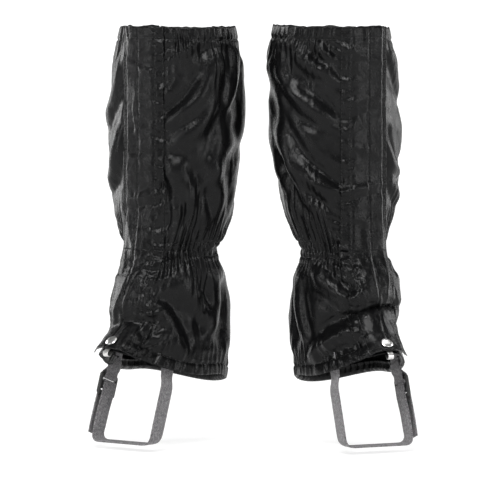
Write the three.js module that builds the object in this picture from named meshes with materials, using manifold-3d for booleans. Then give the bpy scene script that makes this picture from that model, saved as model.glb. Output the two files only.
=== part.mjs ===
// A pair of knee-high hiking gaiters, worn shape, for the left and right leg.
// Millimetres, +Z up. The ground under the boots is z = 0, the toes point towards -Y, and the
// origin lies midway between the two ankles. The right gaiter mirrors the left one in X.
import * as THREE from 'three';
import { mergeVertices } from 'three/addons/utils/BufferGeometryUtils.js';
import Module from 'manifold-3d';

const wasm = await Module();
wasm.setup();

// ---- driving dimensions ----
const ankleSpacing = 178;        // between the two ankle axes
const toeOut = 31;               // degrees that each foot turns outwards
const rimHeight = 431;           // top edge above the ground
const ankleHeight = 203;         // middle of the ankle elastic
const tipHeight = 103;           // lower hem at the front tip
const archHeight = 74;           // lower hem at the side of the foot
const heelHeight = 60;           // lower hem at the back of the heel
const clothThickness = 1.0;
const layerGap = 0.5;            // between two layers that lie on each other
const seamGap = 0.3;             // between the two halves at the back
const flapSeam = 25;             // storm flap's sewn edge, towards the other leg
const flapReach = 23;            // storm flap's free edge, away from the other leg
const underlapEdge = 20;         // hidden front edge of the outer panel
const tapeFrom = -8;             // hook and loop tapes, across the front
const tapeTo = 17;
const tapeThickness = 1.0;
const tapeEnd = 0.75;            // tapes stop at this share of the way from ankle to hem
const elasticThickness = 1.3;
const topElasticWidth = 12;
const ankleElasticWidth = 14;
const hemElasticShare = 0.07;    // of the way from hem to ankle
const elasticInset = 3;          // top elastic below the rim
const foldClearance = 23;        // degrees left free between the flap's two stretches
const webbingWidth = 19;
const webbingThickness = 1.5;
const strapForward = 51;         // strap anchors in front of the ankle axis
const strapBelowHem = 1;         // anchor line below the hem there
const strapSlant = 19.6;         // degrees that the strap leans towards the toe
const strapDrop = 77.5;          // from the anchors down to the strap's run under the arch
const strapCorner = 10;          // bend radius under the edges of the sole
const anchorInset = 9.4;         // strap's plane at its anchors, inside the hem
const archSpread = 3.8;          // how much wider the strap stands beside the sole
const strapLap = 8;              // strap sewn above the anchor line
const anchorHeight = 14;         // patches that hold the strap inside the hem
const anchorRise = 5.5;          // their lower edge above the anchor line, clear of the swing
const tailLength = 46;
const tailGap = 1.6;             // where the webbing flexes, so that its end lifts
const buckleSide = 4;            // buckle's frame beside the webbing
const buckleThickness = 3.5;
const buckleBar = 4;
const buckleSlot = 5.5;
const buckleBelowAnchor = 7.5;
const buckleGap = 0.5;
const rivetShare = 0.94;         // rivet's place on the way from ankle to hem
const rivetCapRadius = 6.3;
const rivetCapRise = 1.8;
const rivetShankRadius = 1.5;
const rivetClearance = 0.3;
const hookWidth = 6;
const hookThickness = 0.9;
const hookPast = 13;             // hook's bend below the rivet
const hookBend = 2.5;            // inner radius of the hook's bend
const hookReturn = 5;            // hook's short leg
const hookBack = 4;              // hook plate above the rivet
const tipNotchFrom = 0.86;       // underlap ends here, so that the hook reaches the laces
const tipNotchSide = 10;

// Levels of one gaiter from rim to hem: half width, depth behind the ankle axis, depth of the flap
// seam. z is a height, and t the share of the way from the ankle down to the slanted hem.
const calfSeam = 44;
const calf = (share, half, back) => (
  { z: ankleHeight + (rimHeight - ankleHeight) * share, t: 0, half, back, seam: calfSeam }
);
const foot = (t, half, back, seam) => ({ z: ankleHeight, t, half, back, seam });
const levels = [
  calf(1, 60, 76),
  calf(0.917, 63, 81),
  calf(0.82, 66, 85),
  calf(0.645, 67.5, 88),
  calf(0.425, 66, 84),
  calf(0.272, 62.5, 76),
  calf(0.154, 57.5, 66),
  calf(0.061, 49.5, 52),
  calf(0, 45, 46),
  foot(0.12, 48.5, 53, 47.5),
  foot(0.28, 52.5, 61, 53),
  foot(0.48, 54.5, 67, 59),
  foot(0.7, 53, 69, 67),
  foot(0.88, 51, 67, 78),
  foot(1, 50, 65, 90),
];
const ankleRow = levels.findIndex((level) => level.z === ankleHeight);
const hemRow = levels.length - 1;

const radians = THREE.MathUtils.degToRad;
const lerp = THREE.MathUtils.lerp;

// ---- the worn surface ----
function levelAt(row) {
  const i = Math.min(Math.floor(row), hemRow - 1);
  const [a, b] = [levels[i], levels[i + 1]];
  const mix = (key) => lerp(a[key], b[key], row - i);
  return { z: mix('z'), t: mix('t'), half: mix('half'), back: mix('back'), seam: mix('seam') };
}

function rowAtHeight(z) {
  const i = levels.findIndex((level) => level.z < z) - 1;
  return i + (levels[i].z - z) / (levels[i].z - levels[i + 1].z);
}

function rowAtShare(t) {
  const i = Math.max(ankleRow, levels.findIndex((level) => level.t >= t) - 1);
  return i + (t - levels[i].t) / (levels[i + 1].t - levels[i].t);
}

function hemHeight(angle) {
  const c = Math.cos(angle);
  const rise = c > 0 ? (tipHeight - archHeight) * c * c : (heelHeight - archHeight) * c * c;
  return archHeight + rise;
}

function wornPoint(row, angle) {
  const { z, t, half, back, seam } = levelAt(row);
  const front = seam / Math.cos(Math.asin(flapSeam / half));
  const c = Math.cos(angle);
  return new THREE.Vector3(
    half * Math.sin(angle),
    -c * (c > 0 ? front : back),
    z + t * (hemHeight(angle) - ankleHeight),
  );
}

function wornNormal(row, angle) {
  const step = 0.02;
  const across = wornPoint(row, angle + step).sub(wornPoint(row, angle - step));
  const above = wornPoint(Math.max(row - step, 0), angle);
  const down = wornPoint(Math.min(row + step, hemRow), angle).sub(above);
  return down.cross(across).normalize();
}

function worn(row, angle, offset) {
  return wornPoint(row, angle).addScaledVector(wornNormal(row, angle), offset);
}

const angleAtX = (row, x) => Math.asin(x / levelAt(row).half);

// ---- building blocks ----
// A box whose grid is moved to place(u, row, w): u across, row along, w from 0 inside to 1 outside.
function bentBox(columns, rows, place) {
  const box = new THREE.BoxGeometry(1, 1, 1, columns, rows.length - 1, 1);
  const position = box.attributes.position;
  for (let i = 0; i < position.count; i += 1) {
    const row = rows[Math.round((0.5 - position.getY(i)) * (rows.length - 1))];
    const p = place(position.getX(i) + 0.5, row, position.getZ(i) + 0.5);
    position.setXYZ(i, p.x, p.y, p.z);
  }
  return cleaned(box);
}

function cleaned(geometry) {
  geometry.deleteAttribute('normal');
  geometry.deleteAttribute('uv');
  return mergeVertices(geometry, 1e-4);
}

function rowsBetween(from, to) {
  const inner = levels.map((level, i) => i).filter((i) => i > from + 0.05 && i < to - 0.05);
  return [from, ...inner, to];
}

// Cloth between two angles that may change from row to row, between two offsets.
function clothBetween(columns, rows, startAngle, endAngle, inner, outer) {
  return bentBox(columns, rows, (u, row, w) => (
    worn(row, lerp(startAngle(row), endAngle(row), u), lerp(inner, outer, w))
  ));
}

// Cloth across the front, between two distances from the middle.
function frontCloth(columns, rows, fromX, toX, inner, outer) {
  return clothBetween(
    columns, rows, (row) => angleAtX(row, fromX), (row) => angleAtX(row, toX), inner, outer,
  );
}

function solid(geometry) {
  const merged = cleaned(geometry.clone());
  return new wasm.Manifold(new wasm.Mesh({
    numProp: 3,
    vertProperties: new Float32Array(merged.attributes.position.array),
    triVerts: new Uint32Array(merged.index.array),
  }));
}

function cut(geometry, tool) {
  const mesh = solid(geometry).subtract(solid(tool)).getMesh();
  const result = new THREE.BufferGeometry();
  result.setAttribute('position', new THREE.BufferAttribute(mesh.vertProperties, 3));
  result.setIndex(new THREE.BufferAttribute(mesh.triVerts, 1));
  return result;
}

function extruded(shape, depth, curveSegments = 8) {
  const geometry = new THREE.ExtrudeGeometry(shape, { depth, bevelEnabled: false, curveSegments });
  return cleaned(geometry.translate(0, 0, -depth / 2));
}

function outline(points) {
  return new THREE.Shape(points.map(([x, y]) => new THREE.Vector2(x, y)));
}

function rectangle(centreX, centreY, width, height) {
  const [x, y] = [width / 2, height / 2];
  return [[-x, -y], [x, -y], [x, y], [-x, y]].map(([a, b]) => [centreX + a, centreY + b]);
}

// ---- layer offsets from the panels' outer face ----
const loopInner = layerGap;
const loopOuter = loopInner + tapeThickness;
const hookTapeInner = loopOuter + layerGap;
const hookTapeOuter = hookTapeInner + tapeThickness;
const flapInner = hookTapeOuter + layerGap;
const flapOuter = flapInner + clothThickness;
const elasticOuter = -clothThickness - layerGap;
const elasticInner = elasticOuter - elasticThickness;

// ---- cloth ----
function innerPanel(fromRow, toRow) {
  const front = (row) => angleAtX(row, layerGap - flapSeam);
  const back = (row) => -Math.PI + (seamGap / 2) / levelAt(row).half;
  return clothBetween(18, rowsBetween(fromRow, toRow), back, front, -clothThickness, 0);
}

function outerPanel(fromRow, toRow) {
  const front = (row) => angleAtX(row, -underlapEdge);
  const back = (row) => Math.PI - (seamGap / 2) / levelAt(row).half;
  return clothBetween(20, rowsBetween(fromRow, toRow), front, back, -clothThickness, 0);
}

// The underlap ends short of the toe tip, so that the hook reaches the laces.
function tipNotch() {
  const past = 4;
  const notchRows = [rowAtShare(tipNotchFrom), hemRow + 1];
  return bentBox(6, notchRows, (u, row, w) => {
    const x = lerp(-underlapEdge - past, tipNotchSide, u);
    const onCloth = Math.min(row, hemRow);
    const edge = worn(onCloth, angleAtX(onCloth, x), lerp(-past, past, w) * 0.75);
    return row > hemRow ? edge.add(new THREE.Vector3(0, -past, -past)) : edge;
  });
}

function flapStretch(fromRow, toRow) {
  return frontCloth(6, rowsBetween(fromRow, toRow), -flapSeam, flapReach, flapInner, flapOuter);
}

function tapeStretch(fromRow, toRow, inner) {
  const rows = rowsBetween(fromRow, toRow);
  return frontCloth(4, rows, tapeFrom, tapeTo, inner, inner + tapeThickness);
}

// The wedge of room that the lower stretch of the flap needs when both stretches stand open.
function foldWedge() {
  const overhang = 5;
  const width = flapSeam + flapReach + 4 * overhang;
  const startX = -flapSeam - overhang;
  const top = ankleHeight + overhang;
  const low = ankleHeight - width * Math.tan(radians(foldClearance));
  const wedge = outline([
    [startX, top], [startX, ankleHeight], [startX + width, low], [startX + width, top],
  ]);
  const through = 4 * calfSeam;
  return extruded(wedge, through).rotateX(Math.PI / 2);
}

function elasticBand(fromRow, toRow, fromX, toX) {
  const start = (row) => angleAtX(row, fromX);
  const end = (row) => 2 * Math.PI + angleAtX(row, toX);
  return clothBetween(32, rowsBetween(fromRow, toRow), start, end, elasticInner, elasticOuter);
}

// ---- lace hook and its rivet, in a frame with +Z out of the cloth and +Y up the slope ----
function hookFrame() {
  const row = rowAtShare(rivetShare);
  const out = wornNormal(row, 0);
  const up = wornPoint(row - 0.1, 0).sub(wornPoint(row, 0)).normalize();
  const across = new THREE.Vector3().crossVectors(up, out);
  return new THREE.Matrix4().makeBasis(across, up, out).setPosition(worn(row, 0, flapOuter));
}

function turned(profile, segments = 24) {
  const lathe = new THREE.LatheGeometry(profile.map(([r, h]) => new THREE.Vector2(r, h)), segments);
  return cleaned(lathe.rotateX(Math.PI / 2));
}

const washerThickness = 0.5;
const washerReach = 0.58;        // of the rivet cap's radius
const hookPlateTop = -clothThickness - 2 * layerGap;
const hookPlateLow = hookPlateTop - hookThickness;
const washerTop = hookPlateLow - rivetClearance;
const washerLow = washerTop - washerThickness;

function hookRivet() {
  const low = washerLow - rivetClearance;
  const top = rivetClearance + rivetCapRise;
  return turned([
    [0, low], [rivetShankRadius, low], [rivetShankRadius, rivetClearance],
    [rivetCapRadius, rivetClearance], [rivetCapRadius * 0.9, rivetClearance + rivetCapRise * 0.55],
    [rivetCapRadius * 0.5, top - 0.2], [0, top],
  ]);
}

function rivetHole() {
  const radius = rivetShankRadius + rivetClearance;
  const through = 8 * radius;
  const hole = new THREE.CylinderGeometry(radius, radius, through, 24);
  return hole.rotateX(Math.PI / 2);
}

function rivetWasher() {
  const inner = rivetShankRadius + rivetClearance;
  const outer = rivetCapRadius * washerReach;
  return turned([
    [inner, washerLow], [outer, washerLow], [outer, washerTop], [inner, washerTop], [inner, washerLow],
  ]);
}

function laceHook() {
  const side = new THREE.Shape();
  const outerBend = hookBend + hookThickness;
  const bendCentre = hookPlateTop - outerBend;
  side.moveTo(hookBack, hookPlateTop);
  side.lineTo(-hookPast, hookPlateTop);
  side.absarc(-hookPast, bendCentre, outerBend, Math.PI / 2, Math.PI * 1.5, false);
  side.lineTo(hookReturn - hookPast, bendCentre - outerBend);
  side.lineTo(hookReturn - hookPast, bendCentre - hookBend);
  side.lineTo(-hookPast, bendCentre - hookBend);
  side.absarc(-hookPast, bendCentre, hookBend, Math.PI * 1.5, Math.PI / 2, true);
  side.lineTo(hookBack, hookPlateLow);
  const profile = extruded(side, hookWidth, 10);
  const basis = new THREE.Matrix4().makeBasis(
    new THREE.Vector3(0, 1, 0), new THREE.Vector3(0, 0, 1), new THREE.Vector3(1, 0, 0),
  );
  return cut(profile.applyMatrix4(basis), rivetHole().translate(0, 0, hookPlateLow + 1));
}

// ---- instep strap, in a frame at the anchor line with -Z down the strap ----
const hem = levels[hemRow];
const hemFront = hem.seam / Math.cos(Math.asin(flapSeam / hem.half));
const strapAngle = Math.acos(strapForward / hemFront);
const strapAnchorHeight = hemHeight(strapAngle) - strapBelowHem;
const anchorSpan = hem.half * Math.sin(strapAngle) - anchorInset;
const archSpan = anchorSpan + archSpread;
const tailSetBack = 1.5;         // outer strap runs nearer the middle, under the buckle
const strapFrame = new THREE.Matrix4()
  .makeRotationX(-radians(strapSlant))
  .setPosition(0, -strapForward, strapAnchorHeight);

const buckleInner = archSpan - tailSetBack + webbingThickness / 2 + buckleGap;
const buckleOuter = buckleInner + buckleThickness;
const tailPlane = buckleOuter + buckleGap + webbingThickness / 2;
const buckleTop = -buckleBelowAnchor;
const upperSlotTop = buckleTop - buckleBar;
const upperSlotLow = upperSlotTop - buckleSlot;
const buckleHeight = 3 * buckleBar + 2 * buckleSlot;
const buckleWidth = webbingWidth + 2 * buckleSide;
const threadHeight = upperSlotLow + buckleSlot * 0.38;
const turn = 1.2;                // bend of the webbing over the buckle's bar
const skin = webbingThickness * 0.8;  // pressed webbing in the anchors and the buckle's loop
const strapEnd = upperSlotLow - buckleBar - buckleSlot / 2;

// A strip of webbing along a path in the XZ plane; twist turns its width about X.
function webbingAlong(path, stations, twist) {
  const rows = Array.from({ length: stations + 1 }, (_, i) => i / stations);
  return bentBox(1, rows, (u, s, w) => {
    const p = path.getPointAt(s);
    const tangent = path.getTangentAt(s);
    const lean = twist(p);
    const width = new THREE.Vector3(0, Math.cos(lean), Math.sin(lean));
    const along = new THREE.Vector3(tangent.x, 0, tangent.y);
    const out = new THREE.Vector3().crossVectors(along, width).normalize();
    return new THREE.Vector3(p.x, 0, p.y)
      .addScaledVector(width, (u - 0.5) * webbingWidth)
      .addScaledVector(out, (w - 0.5) * webbingThickness);
  });
}

function straight(x0, z0, x1, z1) {
  return new THREE.LineCurve(new THREE.Vector2(x0, z0), new THREE.Vector2(x1, z1));
}

function bend(x0, z0, cornerX, cornerZ, x1, z1) {
  return new THREE.QuadraticBezierCurve(
    new THREE.Vector2(x0, z0), new THREE.Vector2(cornerX, cornerZ), new THREE.Vector2(x1, z1),
  );
}

function instepStrap() {
  const low = -strapDrop;
  const r = strapCorner;
  const rise = archSpan - tailSetBack;
  const path = new THREE.CurvePath();
  path.add(straight(-anchorSpan, strapLap, -anchorSpan, -0.2 * r));
  path.add(bend(-anchorSpan, -0.2 * r, -archSpan, -0.9 * r, -archSpan, -1.8 * r));
  path.add(straight(-archSpan, -1.8 * r, -archSpan, low + r));
  path.add(bend(-archSpan, low + r, -archSpan, low, r - archSpan, low));
  path.add(straight(r - archSpan, low, archSpan - r, low));
  path.add(bend(archSpan - r, low, archSpan, low, archSpan, low + r));
  path.add(straight(archSpan, low + r, rise, strapEnd - 1.2 * r));
  path.add(straight(rise, strapEnd - 1.2 * r, rise, threadHeight - turn));
  path.add(bend(rise, threadHeight - turn, rise, threadHeight, rise + turn, threadHeight));
  path.add(straight(rise + turn, threadHeight, tailPlane - turn, threadHeight));
  path.add(bend(
    tailPlane - turn, threadHeight, tailPlane, threadHeight, tailPlane, threadHeight - turn,
  ));
  path.add(straight(tailPlane, threadHeight - turn, tailPlane, strapEnd));
  const flatten = (p) => radians(strapSlant)
    * (1 - THREE.MathUtils.smoothstep(p.y, low + 1, low + 3 * strapCorner));
  return webbingAlong(path, 110, flatten);
}

function strapTail() {
  const top = strapEnd - tailGap;
  const tail = new THREE.BoxGeometry(webbingThickness, webbingWidth, tailLength);
  return cleaned(tail.translate(tailPlane, 0, top - tailLength / 2));
}

function sideways(shape, depth) {
  const basis = new THREE.Matrix4().makeBasis(
    new THREE.Vector3(1, 0, 0), new THREE.Vector3(0, 0, 1), new THREE.Vector3(0, -1, 0),
  );
  return extruded(shape, depth).applyMatrix4(basis);
}

// Webbing loop from the outer anchor round the buckle's top bar.
function buckleLoop() {
  const room = 0.4;
  const inX = buckleInner - room;
  const outX = buckleOuter + room;
  const low = upperSlotTop - room;
  const lapOut = anchorSpan + webbingThickness / 2;
  const lapIn = lapOut - skin;
  const ring = outline([
    [lapIn, strapLap], [lapIn, -0.5], [inX - skin, -4.5], [inX - skin, low - skin],
    [outX + skin, low - skin], [outX + skin, buckleTop + 1.2], [lapOut, -1.5], [lapOut, strapLap],
  ]);
  const hole = [[inX, -4], [inX, low], [outX, low], [outX, buckleTop + room]];
  ring.holes.push(new THREE.Path(hole.map(([x, y]) => new THREE.Vector2(x, y))));
  return sideways(ring, webbingWidth);
}

function ladderBuckle() {
  const middle = buckleTop - buckleHeight / 2;
  const frame = outline(rectangle(0, middle, buckleWidth, buckleHeight));
  const slotWidth = webbingWidth + 4 * buckleGap;
  for (const slotLow of [upperSlotLow, upperSlotLow - buckleBar - buckleSlot]) {
    const slot = rectangle(0, slotLow + buckleSlot / 2, slotWidth, buckleSlot);
    frame.holes.push(new THREE.Path(slot.map(([x, y]) => new THREE.Vector2(x, y))));
  }
  const basis = new THREE.Matrix4().makeBasis(
    new THREE.Vector3(0, 1, 0), new THREE.Vector3(0, 0, 1), new THREE.Vector3(1, 0, 0),
  );
  return extruded(frame, buckleThickness)
    .applyMatrix4(basis)
    .translate(buckleInner + buckleThickness / 2, 0, 0);
}

// Patch of webbing sewn inside the hem, just outside the strap's plane.
function strapAnchor(side) {
  const plane = anchorSpan + webbingThickness / 2 + layerGap + skin / 2;
  const patch = new THREE.BoxGeometry(skin, webbingWidth, anchorHeight);
  return cleaned(patch).translate(side * plane, 0, anchorRise + anchorHeight / 2);
}

// ---- materials ----
const cloth = { color: 0x17181a, roughness: 0.35, metalness: 0 };
const tape = { color: 0x101011, roughness: 0.95, metalness: 0 };
const elastic = { color: 0x1c1c1e, roughness: 0.8, metalness: 0 };
const webbing = { color: 0x6c686d, roughness: 0.85, metalness: 0 };
const steel = { color: 0xc9ccd0, roughness: 0.25, metalness: 1 };
const plastic = { color: 0x18181a, roughness: 0.45, metalness: 0 };

// ---- one gaiter, modelled as the left one ----
function gaiterParts() {
  const inHook = (geometry) => geometry.applyMatrix4(hookFrame());
  const inStrap = (geometry) => geometry.applyMatrix4(strapFrame);
  const splitRow = ankleRow - 0.03;
  const tapeRow = rowAtShare(tapeEnd);
  const lowerFlap = cut(flapStretch(ankleRow, hemRow), foldWedge());
  const elasticTop = rowAtHeight(rimHeight - elasticInset);
  const elasticLow = rowAtHeight(rimHeight - elasticInset - topElasticWidth);
  const ankleTop = rowAtHeight(ankleHeight + ankleElasticWidth / 2);
  const ankleLow = rowAtShare(ankleElasticWidth / 2 / (ankleHeight - archHeight));
  const hemTop = rowAtShare(1 - hemElasticShare);
  return [
    ['inner_calf_panel', innerPanel(0, splitRow), cloth],
    ['inner_foot_panel', innerPanel(ankleRow, hemRow), cloth],
    ['outer_calf_panel', outerPanel(0, splitRow), cloth],
    ['outer_foot_panel', cut(outerPanel(ankleRow, hemRow), tipNotch()), cloth],
    ['top_elastic', elasticBand(elasticTop, elasticLow, -underlapEdge, -flapSeam), elastic],
    ['ankle_elastic', elasticBand(ankleTop, ankleLow, flapReach, -flapSeam), elastic],
    ['hem_elastic', elasticBand(hemTop, hemRow, flapReach, -flapSeam), elastic],
    ['loop_tape', tapeStretch(0.1, tapeRow, loopInner), tape],
    ['storm_flap_upper', flapStretch(0, splitRow), cloth],
    ['storm_flap_lower', cut(lowerFlap, inHook(rivetHole())), cloth],
    ['hook_tape_upper', tapeStretch(0.1, splitRow, hookTapeInner), tape],
    ['hook_tape_lower', cut(tapeStretch(ankleRow, tapeRow, hookTapeInner), foldWedge()), tape],
    ['hook_rivet', inHook(hookRivet()), steel],
    ['rivet_washer', inHook(rivetWasher()), steel],
    ['lace_hook', inHook(laceHook()), steel],
    ['inner_strap_anchor', inStrap(strapAnchor(-1)), webbing],
    ['outer_strap_anchor', inStrap(strapAnchor(1)), webbing],
    ['instep_strap', inStrap(instepStrap()), webbing],
    ['strap_tail', inStrap(strapTail()), webbing],
    ['buckle_loop', inStrap(buckleLoop()), webbing],
    ['ladder_buckle', inStrap(ladderBuckle()), plastic],
  ];
}

function mirrored(geometry) {
  const copy = geometry.clone().scale(-1, 1, 1);
  const index = copy.index.array;
  for (let i = 0; i < index.length; i += 3) {
    [index[i], index[i + 1]] = [index[i + 1], index[i]];
  }
  return copy;
}

function gaiter(name, side) {
  const group = new THREE.Group();
  group.rotation.z = side * radians(toeOut);
  group.position.x = side * ankleSpacing / 2;
  for (const [part, geometry, look] of gaiterParts()) {
    const shape = side > 0 ? geometry : mirrored(geometry);
    const mesh = new THREE.Mesh(shape, new THREE.MeshStandardMaterial(look));
    mesh.name = `${name}_${part}`;
    group.add(mesh);
  }
  return group;
}

const pair = new THREE.Group();
pair.add(gaiter('left', 1), gaiter('right', -1));

export default pair;
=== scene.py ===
"""A pair of hiking gaiters in glossy black nylon, as worn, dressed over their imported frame."""
import math

import bpy
import numpy as np
from mathutils import Matrix, Vector


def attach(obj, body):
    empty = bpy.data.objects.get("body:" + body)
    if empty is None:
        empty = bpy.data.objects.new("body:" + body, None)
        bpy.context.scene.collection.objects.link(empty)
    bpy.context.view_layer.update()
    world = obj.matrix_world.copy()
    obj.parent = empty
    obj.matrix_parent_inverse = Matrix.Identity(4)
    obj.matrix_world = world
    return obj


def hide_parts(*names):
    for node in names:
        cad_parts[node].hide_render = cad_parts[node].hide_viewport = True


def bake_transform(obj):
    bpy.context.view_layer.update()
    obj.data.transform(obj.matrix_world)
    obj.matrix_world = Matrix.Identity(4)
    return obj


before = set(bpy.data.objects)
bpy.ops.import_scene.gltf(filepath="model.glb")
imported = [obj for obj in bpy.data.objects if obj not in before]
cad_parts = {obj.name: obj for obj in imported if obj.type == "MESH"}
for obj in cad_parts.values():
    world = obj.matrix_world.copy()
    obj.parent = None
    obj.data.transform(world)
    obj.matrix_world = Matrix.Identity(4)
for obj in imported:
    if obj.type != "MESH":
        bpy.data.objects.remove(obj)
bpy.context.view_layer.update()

# ---- sizes, in millimetres in one gaiter's own frame: toe towards -Y, other leg towards -X ----
MM = 0.001
TOE_OUT = math.radians(31)
ANKLE_SPACING = 178
RIM, ANKLE, TIP, ARCH, HEEL = 431, 203, 103, 74, 60
SEAM_X, FREE_X = -25, 23
UNDERLAP_X = -20
TAPE_FROM, TAPE_TO = -8, 17
TAPE_END = 0.75
CLOTH = 0.5
RIM_BAND, ANKLE_BAND, HEM_BAND = 13, 14, 11
FLAP_TURNING = 11
FLAP_HEM_SHARE = 0.97
TAPE_BELOW_RIM, TAPE_THICK = 5, 0.8
ELASTIC_INSET, ELASTIC_THICK = 1.6, 0.8
MEAN_RADIUS = 60

# Levels from rim to hem: height, share of the way from ankle to hem, half width, depth behind, seam.
CALF = RIM - ANKLE
LEVELS = np.array([
    (RIM, 0, 60, 76, 44), (ANKLE + 0.917 * CALF, 0, 63, 81, 44), (ANKLE + 0.82 * CALF, 0, 66, 85, 44),
    (ANKLE + 0.645 * CALF, 0, 67.5, 88, 44), (ANKLE + 0.425 * CALF, 0, 66, 84, 44),
    (ANKLE + 0.272 * CALF, 0, 62.5, 76, 44), (ANKLE + 0.154 * CALF, 0, 57.5, 66, 44),
    (ANKLE + 0.061 * CALF, 0, 49.5, 52, 44), (ANKLE, 0, 45, 46, 44),
    (ANKLE, 0.12, 48.5, 53, 47.5), (ANKLE, 0.28, 52.5, 61, 53),
    (ANKLE, 0.48, 54.5, 67, 59), (ANKLE, 0.7, 53, 69, 67), (ANKLE, 0.88, 51, 67, 78),
    (ANKLE, 1, 50, 65, 90),
])
# The roll of slack cloth over each instep: its share, width and rise, the tuck's, and its sag.
SLOUCH = {1: (0.31, 0.17, 9.5, 0.565, 0.05, 8.5, 6), -1: (0.43, 0.155, 9.0, 0.76, 0.09, 6.5, 6)}
# Each leg fills its gaiter in its own way: at a height, how far the cloth stands out or in on the
# side towards the other leg, and on the side away from it. The middle of each side is an angle.
FILL = {
    1: ((431, 9, -11), (385, 9, -8.5), (350, 5, -7.5), (304, 3, -4.5), (267, 2, -1), (218, 0, -4),
        (205, -2, -5), (190, -5.5, -2), (150, -3.5, 1.5), (125, -4, -3), (100, -4, -2)),
    -1: ((431, 0, -3), (385, -1, 1), (350, -2, 5), (304, -1, 8), (267, 0, 6), (218, 4.5, 3), (205, 2, -2),
         (190, -2, -3), (150, -1, -3.5), (112, -1, -7), (100, 1, -5)),
}
FILL_ANGLES = {1: (-115, 65), -1: (-127, 53)}
ANKLE_ROW = 8
HEM_ROW = len(LEVELS) - 1


# ---- small helpers ----
def smooth(low, high, x):
    t = np.clip((x - low) / (high - low), 0, 1)
    return t * t * (3 - 2 * t)


def bell(x, centre, width):
    return np.exp(-((x - centre) / width) ** 2)


KNOTS = 4096
HILLS = 256


def wander(x, step, seed):
    """A smooth random line through -1..1, with a new value every step."""
    knots = np.random.default_rng(seed).uniform(-1, 1, KNOTS)
    t = np.asarray(x) / step + 2000
    i = np.floor(t).astype(int)
    f = t - i
    f = f * f * (3 - 2 * f)
    return knots[i % KNOTS] * (1 - f) + knots[(i + 1) % KNOTS] * f


def cloudy(x, y, step, seed):
    """Smooth random hills, -1..1, about one step apart."""
    grid = np.random.default_rng(seed).uniform(-1, 1, (HILLS, HILLS))
    u, v = np.asarray(x) / step + HILLS / 2, np.asarray(y) / step + HILLS / 2
    i, j = np.floor(u).astype(int), np.floor(v).astype(int)
    f, g = u - i, v - j
    f, g = f * f * (3 - 2 * f), g * g * (3 - 2 * g)
    near, far = i % HILLS, (i + 1) % HILLS
    low, high = j % HILLS, (j + 1) % HILLS
    a = grid[near, low] * (1 - f) + grid[far, low] * f
    b = grid[near, high] * (1 - f) + grid[far, high] * f
    return a * (1 - g) + b * g


def creased(x, y, step, turn, stretch, seed):
    """Crests along one direction, as slack cloth has: 0 in the hollows, 1 on the crests."""
    c, s = math.cos(turn), math.sin(turn)
    along, across = (x * c + y * s) / stretch, -x * s + y * c
    n = cloudy(along, across, step, seed) + 0.5 * cloudy(along, across, step / 2, seed + 1)
    return (1 - np.minimum(np.abs(n) * 1.6, 1)) ** 1.5


def facets(x, y, step, turn, seed):
    """Flat faces between crisp, wandering creases, as thin crumpled nylon has; about -1..1."""
    t = (x * math.cos(turn) + y * math.sin(turn)) / step + 0.8 * cloudy(x, y, step * 1.6, seed)
    size = 0.45 + 0.55 * cloudy(x, y, step * 2.1, seed + 3)
    return size * np.arcsin(0.96 * np.sin(2 * np.pi * t)) / 1.3


# ---- the worn surface ----
def level_at(row):
    """Height, share, half width, depth behind and seam depth, smooth through the levels."""
    row = np.clip(np.asarray(row, float), 0, HEM_ROW)
    i = np.minimum(row.astype(int), HEM_ROW - 1)
    f = (row - i)[..., None]
    slope = np.gradient(LEVELS, axis=0)
    a, b, ma, mb = LEVELS[i], LEVELS[i + 1], slope[i], slope[i + 1]
    return (
        a * (1 + 2 * f) * (1 - f) ** 2 + b * f * f * (3 - 2 * f)
        + ma * f * (1 - f) ** 2 + mb * f * f * (f - 1)
    )


def hem_height(angle):
    c = np.cos(angle)
    return ARCH + np.where(c > 0, TIP - ARCH, HEEL - ARCH) * c * c


def base_point(row, angle, side):
    values = level_at(row)
    share, half, back, seam = values[..., 1], values[..., 2], values[..., 3], values[..., 4]
    front = seam / np.cos(np.arcsin(np.clip(-SEAM_X / half, 0, 0.9)))
    c = np.cos(angle)
    # Under the ankle the slack cloth rolls over the instep, and tucks in again below the roll.
    roll, roll_width, rise, tuck, tuck_width, depth, sag = SLOUCH[side]
    lean = 0.10 * np.sin(angle) * side
    slack = smooth(0.25, 1, c)
    front = front + slack * rise * bell(share + lean, roll, roll_width)
    front = front - slack * depth * bell(share + lean, tuck, tuck_width)
    z = values[..., 0] + share * (hem_height(angle) - ANKLE)
    z = z - sag * slack * bell(share + lean, roll + 0.06, 0.13)
    return np.stack([half * np.sin(angle), -c * np.where(c > 0, front, back), z], -1)


def worn_normal(row, angle, side):
    step = 0.02
    across = base_point(row, angle + step, side) - base_point(row, angle - step, side)
    down = base_point(row + step, angle, side) - base_point(row - step, angle, side)
    normal = np.cross(down, across)
    return normal / np.linalg.norm(normal, axis=-1, keepdims=True)


def worn(side, row, angle, offset=0.0):
    """A point of the worn surface, moved out along its normal by an offset in millimetres."""
    return base_point(row, angle, side) + worn_normal(row, angle, side) * np.asarray(offset)[..., None]


def angle_at_x(row, x):
    return np.arcsin(np.clip(x / level_at(row)[..., 2], -0.95, 0.95))


ROWS_FINE = np.linspace(0, HEM_ROW, 1400)
HEIGHTS_FINE = level_at(ROWS_FINE)[:, 0] + level_at(ROWS_FINE)[:, 1] * (ARCH - ANKLE)


def row_at(height):
    """The row whose side stands at this height."""
    return np.interp(-np.asarray(height, float), -HEIGHTS_FINE, ROWS_FINE)


def row_at_share(share):
    return np.interp(share, level_at(ROWS_FINE)[:, 1], ROWS_FINE)


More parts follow.
